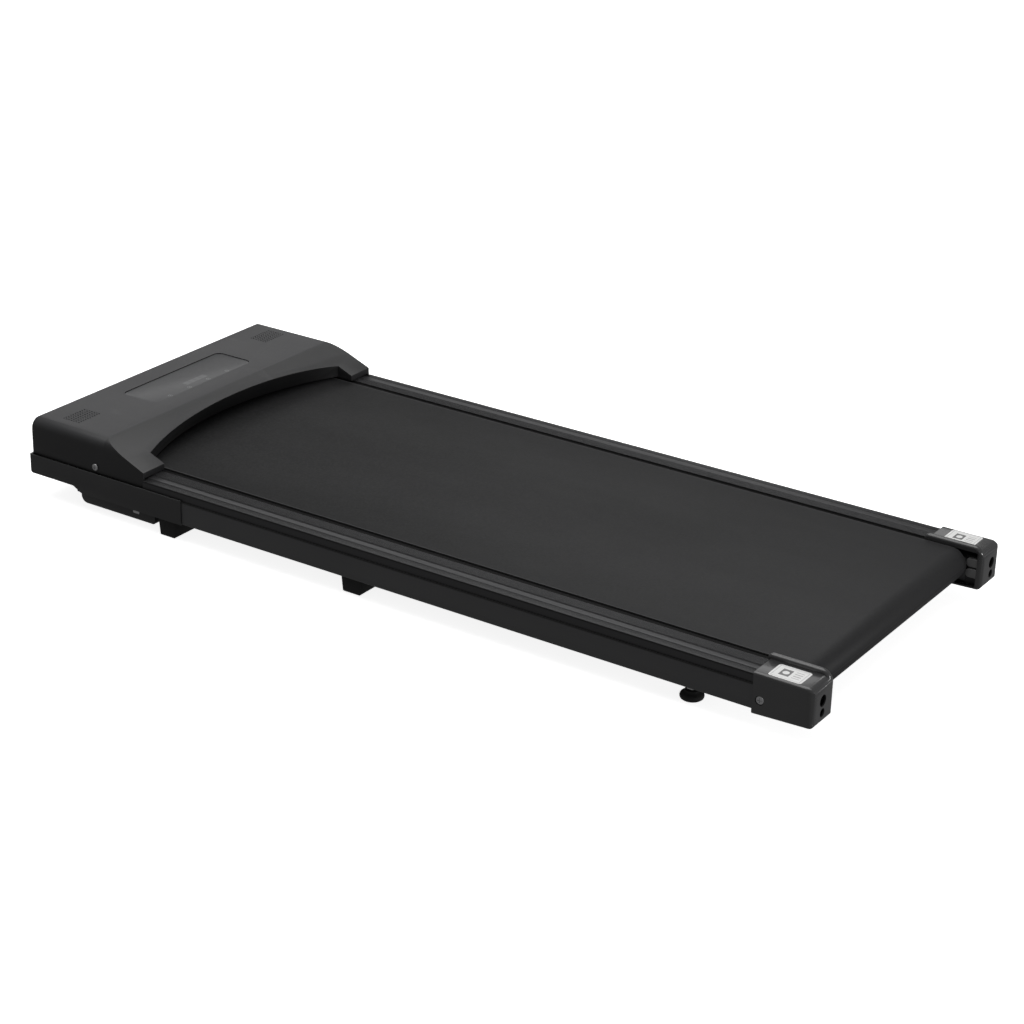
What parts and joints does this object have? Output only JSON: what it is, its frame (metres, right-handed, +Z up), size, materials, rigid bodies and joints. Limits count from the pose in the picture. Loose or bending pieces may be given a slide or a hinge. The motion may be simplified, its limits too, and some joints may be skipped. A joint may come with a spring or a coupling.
{
  "type": "treadmill",
  "caption": "Low under-desk walking treadmill with a driven belt on a deck, a motor hood with a display at the front, ribbed side foot rails and end caps over the rear roller.",
  "frame": {"origin": "on the floor, under the middle of the machine's bounding box", "axes": "+Z up, +X towards the tail where the belt leaves the walker, -X towards the motor hood, +Y to the walker's right"},
  "size_m": [1.212, 0.508, 0.1123],
  "materials": {
    "hood": "fine-textured dark grey moulded plastic",
    "cover": "satin black moulded plastic",
    "display": "smoked gloss panel",
    "frame": "satin black powder coat",
    "foot_rail": "black anodised extrusion",
    "belt": "matte, fine grain",
    "foot_rubber": "matte black rubber",
    "deck": "waxed fibreboard",
    "bright_steel": "zinc-plated steel",
    "motor": "dark enamelled steel",
    "heatsink": "bare extrusion",
    "board": "green circuit board",
    "socket": "black moulded plastic",
    "reset": "red button"
  },
  "bodies": {
    "chassis": {"frame_rail_left": "frame", "frame_rail_right": "frame", "side_plate_left": "frame", "side_plate_right": "frame", "cross_member_front": "frame", "cross_member_middle": "frame", "cross_member_rear": "frame", "deck_board": "deck", "foot_rail_left": "foot_rail", "foot_rail_right": "foot_rail", "hood_shell": "hood", "base_tray": "cover", "belly_pan": "cover", "display_panel": "display", "display_board": "board", "speaker_left": "socket", "speaker_right": "socket", "end_cap_left": "cover", "end_cap_right": "cover", "running_belt": "belt", "drive_belt": "foot_rubber", "front_axle": "bright_steel", "rear_axle": "bright_steel", "motor_housing": "motor", "motor_bracket": "frame", "controller_board": "board", "controller_heatsink": "heatsink", "power_inlet": "socket", "switch_housing": "socket", "breaker_body": "socket", "hood_screw_left": "bright_steel", "hood_screw_right": "bright_steel", "cap_screw_left": "bright_steel", "cap_screw_right": "bright_steel", "front_foot_left": "foot_rubber", "front_foot_right": "foot_rubber", "middle_foot_left": "foot_rubber", "middle_foot_right": "foot_rubber", "wheel_bracket_left": "frame", "wheel_bracket_right": "frame"},
    "front_roller": {"front_roller": "motor", "front_bearing_left": "bright_steel", "front_bearing_right": "bright_steel", "drive_pulley": "motor"},
    "rear_roller": {"rear_roller": "motor", "rear_bearing_left": "bright_steel", "rear_bearing_right": "bright_steel"},
    "motor_rotor": {"motor_rotor": "bright_steel"},
    "tension_bolt_left": {"tension_bolt_left": "bright_steel"},
    "tension_bolt_right": {"tension_bolt_right": "bright_steel"},
    "levelling_foot_left": {"levelling_pad_left": "foot_rubber", "levelling_stud_left": "bright_steel", "foot_locknut_left": "bright_steel"},
    "levelling_foot_right": {"levelling_pad_right": "foot_rubber", "levelling_stud_right": "bright_steel", "foot_locknut_right": "bright_steel"},
    "transport_wheel_left": {"transport_wheel_left": "foot_rubber"},
    "transport_wheel_right": {"transport_wheel_right": "foot_rubber"},
    "power_switch": {"power_switch": "socket"},
    "breaker_button": {"breaker_button": "reset"}
  },
  "joints": [
    {"name": "front_roller_spin", "type": "hinge", "parent": "chassis", "child": "front_roller", "pos_m": [-0.485, 0, 0.0521], "axis": [0, 1, 0], "continuous": true},
    {"name": "rear_roller_spin", "type": "hinge", "parent": "chassis", "child": "rear_roller", "pos_m": [0.562, 0, 0.0521], "axis": [0, 1, 0], "continuous": true},
    {"name": "motor_spin", "type": "hinge", "parent": "chassis", "child": "motor_rotor", "pos_m": [-0.554, 0, 0.069], "axis": [0, 1, 0], "continuous": true},
    {"name": "tension_left_turn", "type": "hinge", "parent": "chassis", "child": "tension_bolt_left", "pos_m": [0.592, -0.231, 0.0521], "axis": [1, 0, 0], "range_deg": [-720, 720]},
    {"name": "tension_right_turn", "type": "hinge", "parent": "chassis", "child": "tension_bolt_right", "pos_m": [0.592, 0.231, 0.0521], "axis": [1, 0, 0], "range_deg": [-720, 720]},
    {"name": "levelling_left_slide", "type": "slide", "parent": "chassis", "child": "levelling_foot_left", "axis": [0, 0, 1], "range_m": [-0.01, 0.004]},
    {"name": "levelling_right_slide", "type": "slide", "parent": "chassis", "child": "levelling_foot_right", "axis": [0, 0, 1], "range_m": [-0.01, 0.004]},
    {"name": "wheel_left_spin", "type": "hinge", "parent": "chassis", "child": "transport_wheel_left", "pos_m": [-0.578, -0.16, 0.0172], "axis": [0, 1, 0], "continuous": true},
    {"name": "wheel_right_spin", "type": "hinge", "parent": "chassis", "child": "transport_wheel_right", "pos_m": [-0.578, 0.16, 0.0172], "axis": [0, 1, 0], "continuous": true},
    {"name": "switch_rock", "type": "hinge", "parent": "chassis", "child": "power_switch", "pos_m": [-0.602, 0.155, 0.0493], "axis": [0, 0, 1], "range_deg": [-16, 0]},
    {"name": "breaker_travel", "type": "slide", "parent": "chassis", "child": "breaker_button", "axis": [-1, 0, 0], "range_m": [0, 0.004]}
  ],
  "couplings": [
    {"joint": "rear_roller_spin", "follows": "front_roller_spin", "ratio": 1},
    {"joint": "motor_spin", "follows": "front_roller_spin", "ratio": 3.7647}
  ]
}
